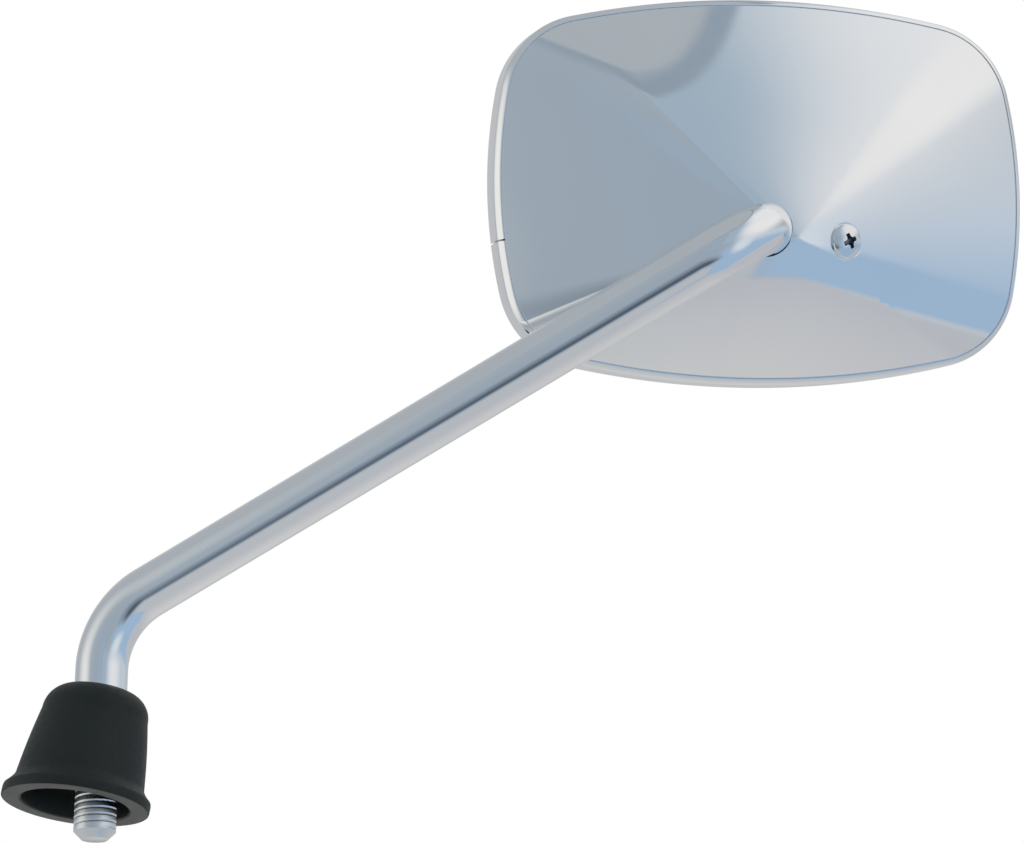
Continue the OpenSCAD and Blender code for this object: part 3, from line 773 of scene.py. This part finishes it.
def bump(tree, value, strength, distance, shader):
    normal = add(tree, "Bump", {"Strength": strength, "Distance": distance, "Height": value}, "Normal")
    tree.links.new(normal, shader.inputs["Normal"])


# Bright chrome: a slight haze that varies, and the plating's long low ripple
def chrome(name, low, high, haze, ripple):
    mat, tree, shader = new_material(name)
    shader.inputs["Metallic"].default_value = 1.0
    fine = noise(tree, 220.0, 4.0, 0.6)
    broad = noise(tree, 18.0, 2.0, 0.5)
    tree.links.new(tint(tree, broad, low, high), shader.inputs["Base Color"])
    tree.links.new(spread(tree, fine, *haze), shader.inputs["Roughness"])
    bump(tree, noise(tree, 60.0, 1.0, 0.4), 0.12, ripple, shader)
    return mat


# Unpolished metal with a fine grain
def dull_metal(name, colour, dark, roughness, grain=900.0):
    mat, tree, shader = new_material(name)
    shader.inputs["Metallic"].default_value = 1.0
    fine = noise(tree, grain, 5.0, 0.6)
    tree.links.new(tint(tree, fine, dark, colour), shader.inputs["Base Color"])
    tree.links.new(spread(tree, fine, roughness - 0.06, roughness + 0.08), shader.inputs["Roughness"])
    bump(tree, fine, 0.2, 0.00004, shader)
    return mat


# Rubber, nylon or foam: two close shades and a fine grain
def soft(name, colour, light, roughness, grain, depth, specular=0.4):
    mat, tree, shader = new_material(name)
    shader.inputs["Specular IOR Level"].default_value = specular
    fine = noise(tree, grain, 5.0, 0.65)
    broad = noise(tree, grain / 14, 3.0, 0.5)
    tree.links.new(tint(tree, broad, colour, light), shader.inputs["Base Color"])
    tree.links.new(spread(tree, fine, roughness - 0.07, roughness + 0.07), shader.inputs["Roughness"])
    bump(tree, fine, 0.5, depth, shader)
    return mat


def dress(obj, mat):
    obj.data.materials.clear()
    obj.data.materials.append(mat)


# A second material on some of a piece's faces
def dress_part(obj, mat, which):
    obj.data.materials.append(mat)
    for i in which:
        obj.data.polygons[i].material_index = len(obj.data.materials) - 1


shell = make_shell()
band = make_band()
rod = make_rod()
stud = make_stud()
boot, boot_face = make_boot()
screw, screw_recess_painted_shade = make_screw()
glass = outline_plate("silvered_glass", GLASS_INSET, GLASS_Z, GLASS_Z + GLASS_T, GLASS_BEVEL,
                      "mirror_glass")
gasket = make_gasket()

POLISHED = ((0.87, 0.875, 0.885), (0.91, 0.915, 0.92))
dress(shell, chrome("shell_chrome", *POLISHED, (0.035, 0.06), 0.00004))
dress(band, chrome("band_chrome", *POLISHED, (0.035, 0.06), 0.00003))
dress(rod, chrome("rod_chrome", *POLISHED, (0.03, 0.055), 0.00003))
dress(screw, chrome("screw_chrome", (0.80, 0.81, 0.82), (0.88, 0.89, 0.90), (0.08, 0.14), 0.00003))
# The cross recess gets dark dull metal: partly a duller finish than the head's chrome, partly painted shade in
# the hollow
dress_part(screw, dull_metal("screw_recess_painted_shade", (0.32, 0.35, 0.38), (0.14, 0.16, 0.18), 0.45), screw_recess_painted_shade)
dress(stud, chrome("stud_chrome", (0.76, 0.76, 0.76), (0.86, 0.86, 0.86), (0.24, 0.36), 0.00003))
dress(boot, soft("boot_rubber", (0.006, 0.010, 0.009), (0.010, 0.014, 0.013), 0.5, 900.0, 0.00005, 0.3))
# The lip's lower face gets a lighter grey than the rest of the boot: painted sheen, for the light it catches at
# a grazing angle
mouth_painted_sheen = soft("boot_mouth_painted_sheen", (0.085, 0.09, 0.082), (0.11, 0.115, 0.105), 0.6, 900.0, 0.00005, 0.3)
dress_part(boot, mouth_painted_sheen, boot_face)
dress(gasket, soft("gasket_rubber", (0.02, 0.02, 0.02), (0.03, 0.03, 0.03), 0.6, 900.0, 0.00004))
dress(glass, chrome("mirror_silver", (0.86, 0.88, 0.88), (0.88, 0.90, 0.90), (0.0, 0.01), 0.0))

zinc = dull_metal("zinc_plate", (0.66, 0.67, 0.66), (0.5, 0.51, 0.5), 0.32)
cast = dull_metal("die_cast", (0.52, 0.53, 0.54), (0.4, 0.41, 0.42), 0.5, 1600.0)
nylon = soft("nylon", (0.74, 0.71, 0.62), (0.8, 0.77, 0.68), 0.45, 600.0, 0.00003)
foam = soft("foam", (0.05, 0.05, 0.052), (0.08, 0.08, 0.083), 0.85, 1300.0, 0.0002, 0.2)
for node, mat in (("lock_nut", zinc), ("seam_clip", zinc), ("clamp_plate", zinc), ("clamp_lock_washer", zinc),
                  ("clamp_nut", zinc), ("socket_block", cast), ("ball_seat_rear", nylon),
                  ("ball_seat_front", nylon), ("backing_pad", foam)):
    dress(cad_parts[node], mat)

# Camera, at the photograph's angle
AZIMUTH, ELEVATION, LEAN = radians(22.03), radians(-19.478), radians(0.348)
CAMERA_AWAY, CAMERA_RIGHT, CAMERA_UP = 700, 78.069, 58.298
LENS = 130.16
back = Vector((sin(AZIMUTH) * cos(ELEVATION), -cos(AZIMUTH) * cos(ELEVATION), sin(ELEVATION)))
aside = Vector((cos(AZIMUTH), sin(AZIMUTH), 0))
above = back.cross(aside)
right, up = cos(LEAN) * aside + sin(LEAN) * above, cos(LEAN) * above - sin(LEAN) * aside
lens = bpy.data.cameras.new("camera")
lens.sensor_width = 36.0
lens.lens = LENS
lens.clip_end = 50.0
camera = bpy.data.objects.new("camera", lens)
camera.matrix_world = Matrix((
    (right.x, up.x, back.x, 0), (right.y, up.y, back.y, 0), (right.z, up.z, back.z, 0), (0, 0, 0, 1)))
camera.location = (back * CAMERA_AWAY + right * CAMERA_RIGHT + up * CAMERA_UP + Z_AXIS * SHOULDER_Z) * MM
bpy.context.scene.collection.objects.link(camera)
bpy.context.scene.camera = camera

# Floor: pale paint. Polished metal doesn't show it, but the studio round it; the floor keeps the shadow
FLOOR_HALF, FLOOR_Z = 4, -0.6
corners = [(x * FLOOR_HALF, y * FLOOR_HALF, FLOOR_Z) for x, y in ((-1, -1), (1, -1), (1, 1), (-1, 1))]
floor_mesh = bpy.data.meshes.new("floor")
floor_mesh.from_pydata(corners, [], [(0, 1, 2, 3)])
floor = bpy.data.objects.new("floor", floor_mesh)
bpy.context.scene.collection.objects.link(floor)
floor_mat, floor_tree, floor_shader = new_material("floor_paint")
floor_shader.inputs["Roughness"].default_value = 0.8
paint = tint(floor_tree, noise(floor_tree, 3.0), (0.80, 0.80, 0.80), (0.83, 0.83, 0.83))
floor_tree.links.new(paint, floor_shader.inputs["Base Color"])
glossy = add(floor_tree, "LightPath", {}, "Is Glossy Ray")
clear = add(floor_tree, "BsdfTransparent", {})
either = add(floor_tree, "MixShader", {0: glossy, 1: floor_shader.outputs[0], 2: clear})
floor_tree.links.new(either, floor_tree.nodes["Material Output"].inputs["Surface"])
dress(floor, floor_mat)

# World: white to the camera and through glass, plain studio light for all surfaces, and a studio of soft panels
# for what metal reflects
world = bpy.data.worlds.new("studio")
bpy.context.scene.world = world
world.use_nodes = True
wt = world.node_tree
WHITE = (1, 1, 1, 1)
PLAIN_LIGHT = (0.8, 0.8, 0.8, 1)
CHROME_LEVEL = 0.89


def vector_math(operation, *values, out="Vector"):
    return add(wt, "VectorMath", dict(enumerate(values)), out, operation=operation)


def world_math(operation, *values):
    return add(wt, "Math", dict(enumerate(values)), operation=operation)


def world_mix(factor, a, b):
    return add(wt, "Mix", {0: factor, 6: a, 7: b}, 2, data_type="RGBA")


def smooth_range(value, start, end, low=0, high=1):
    ends = {"From Min": start, "From Max": end, "To Min": low, "To Max": high}
    return add(wt, "MapRange", {"Value": value, **ends}, "Result", interpolation_type="SMOOTHSTEP")


# A colour as written in 0 to 255, at the level that polished metal gives back as written
def reflected(colour):
    out = []
    for c in colour:
        c /= 255
        out.append((c / 12.92 if c <= 0.04045 else ((c + 0.055) / 1.055) ** 2.4) / CHROME_LEVEL)
    return (*out, 1.0)


# A panel's edge: an oval ("oval", right, up, half width, half height, turn, softness),
# or the side to the left of a line ("side", right, up, direction, softness)
def panel_mask(spot, kind, u, v, *shape):
    scale = (*shape[:2], 1) if kind == "oval" else (1, 1, 1)
    turn, softness = shape[-2:]
    inputs = {"Vector": spot, "Location": (u, v, 0), "Rotation": (0, 0, radians(turn)), "Scale": scale}
    place = add(wt, "Mapping", inputs, vector_type="TEXTURE")
    if kind == "oval":
        return smooth_range(vector_math("LENGTH", place, out="Value"), 1 - softness, 1 + softness, 1, 0)
    return smooth_range(add(wt, "SeparateXYZ", {0: place}, 1), -softness / 2, softness / 2)


# The studio's direction as the tilt of a mirror that turns it to the front, right and up
direction = vector_math("NORMALIZE", add(wt, "TexCoord", {}, "Generated"))
tilt = vector_math("NORMALIZE", vector_math("ADD", direction, tuple(back)))
across = vector_math("DOT_PRODUCT", tilt, tuple(aside), out="Value")
upward = vector_math("DOT_PRODUCT", tilt, tuple(above), out="Value")
spot = add(wt, "CombineXYZ", {0: across, 1: upward})

# The room's colour, the far wall's, and the panels, placed for the reflections in the photograph:
# colour, strength and edges
ROOM = (157, 168, 177)
FAR_WALL = (184, 185, 187)
PANELS = [
    ((149, 162, 176), 0.8, [("oval", -0.06, 0.12, 0.22, 0.34, 0, 0.7)]),
    ((147, 158, 167), 0.9, [("oval", -0.25, 0.85, 0.42, 0.16, 12, 0.6)]),
    ((156, 173, 188), 1.0, [("side", 0.072, 0.40, -90, 0.02), ("side", 0.0, 0.20, 0, 0.1),
                            ("oval", 0.15, 0.42, 0.35, 0.35, 0, 0.3)]),
    ((200, 207, 215), 1.0, [("oval", 0.50, 0.50, 0.24, 0.46, 0, 0.5)]),
    ((229, 228, 227), 1.0, [("oval", 0.56, 0.46, 0.25, 0.27, 0, 0.55)]),
    ((224, 225, 226), 1.0, [("oval", 0.44, 0.72, 0.24, 0.17, -15, 0.5)]),
    ((209, 214, 220), 1.0, [("side", 0.5, 0.16, 180, 0.34), ("side", 0.34, 0.2, -90, 0.3)]),
    ((154, 179, 204), 1.0, [("side", 0.5, 0.06, 180, 0.26), ("side", 0.15, -0.2, -90, 0.15),
                            ("side", 0.25, -0.535, -8, 0.03), ("side", 0.45, -0.52, 45, 0.03)]),
    ((180, 184, 189), 1.0, [("side", 0.05, -0.31, 180, 0.10), ("side", 0.155, -0.4, 90, 0.03)]),
    ((203, 213, 221), 1.0, [("oval", 0.41, 0.02, 0.11, 0.16, 0, 0.6)]),
    ((180, 183, 189), 1.0, [("side", 0.25, -0.535, 172, 0.03), ("side", 0.1, -0.5, -80, 0.1)]),
    ((180, 183, 189), 1.0, [("side", 0.45, -0.52, 225, 0.03)]),
    ((202, 202, 201), 0.9, [("oval", 0.20, -0.92, 0.45, 0.24, 0, 0.7)]),
    ((138, 151, 164), 0.95, [("oval", 0.007, 0.722, 0.208, 0.208, 0, 0.02), ("side", 0.05, 0.5, -90, 0.06)]),
    ((165, 172, 178), 1.0, [("oval", 0.007, 0.722, 0.188, 0.188, 0, 0.03)]),
    ((165, 172, 178), 1.0, [("side", 0.05, 0.545, 27, 0.008), ("side", 0.03, 0.6, 90, 0.02)]),
    ((138, 152, 166), 0.9, [("side", 0.05, 0.545, 207, 0.006), ("side", 0.05, 0.525, 27, 0.03),
                            ("oval", 0.0, 0.52, 0.14, 0.1, 20, 0.5)]),
    ((113, 125, 137), 0.9, [("oval", -0.08, -0.155, 0.19, 0.09, 10, 0.8)]),
    ((150, 170, 189), 0.5, [("oval", -0.02, 0.28, 0.07, 0.12, 0, 0.7)]),
    ((76, 90, 106), 1.0, [("oval", 0.0, -0.20, 0.16, 0.06, 10, 0.7)]),
    ((232, 232, 228), 1.0, [("oval", -0.58, -0.04, 0.20, 0.35, 0, 0.5)]),
]
room = reflected(ROOM)
for colour, strength, edges in PANELS:
    mask = strength
    for edge in edges:
        mask = world_math("MULTIPLY", panel_mask(spot, *edge), mask)
    room = world_mix(mask, room, reflected(colour))
far = smooth_range(vector_math("LENGTH", spot, out="Value"), 0.9, 0.98)
room = world_mix(far, room, reflected(FAR_WALL))
paths = wt.nodes.new("ShaderNodeLightPath").outputs
seen = world_math("MAXIMUM", paths["Is Camera Ray"], paths["Is Transmission Ray"])
plain = world_mix(seen, PLAIN_LIGHT, WHITE)
background = wt.nodes["Background"]
wt.links.new(world_mix(paths["Is Glossy Ray"], plain, room), background.inputs["Color"])
background.inputs["Strength"].default_value = 1.0

# One large soft lamp, high at the front left
key = bpy.data.lights.new("soft_lamp", "AREA")
key.shape = "DISK"
key.size = 1.6
key.energy = 13.0
lamp = bpy.data.objects.new("soft_lamp", key)
lamp.location = (-1.1, -1.5, 1.7)
lamp.rotation_euler = (-Vector(lamp.location)).to_track_quat("-Z", "Y").to_euler()
lamp.visible_glossy = False
lamp.visible_camera = False
bpy.context.scene.collection.objects.link(lamp)

scene = bpy.context.scene
scene.view_settings.view_transform = "Standard"
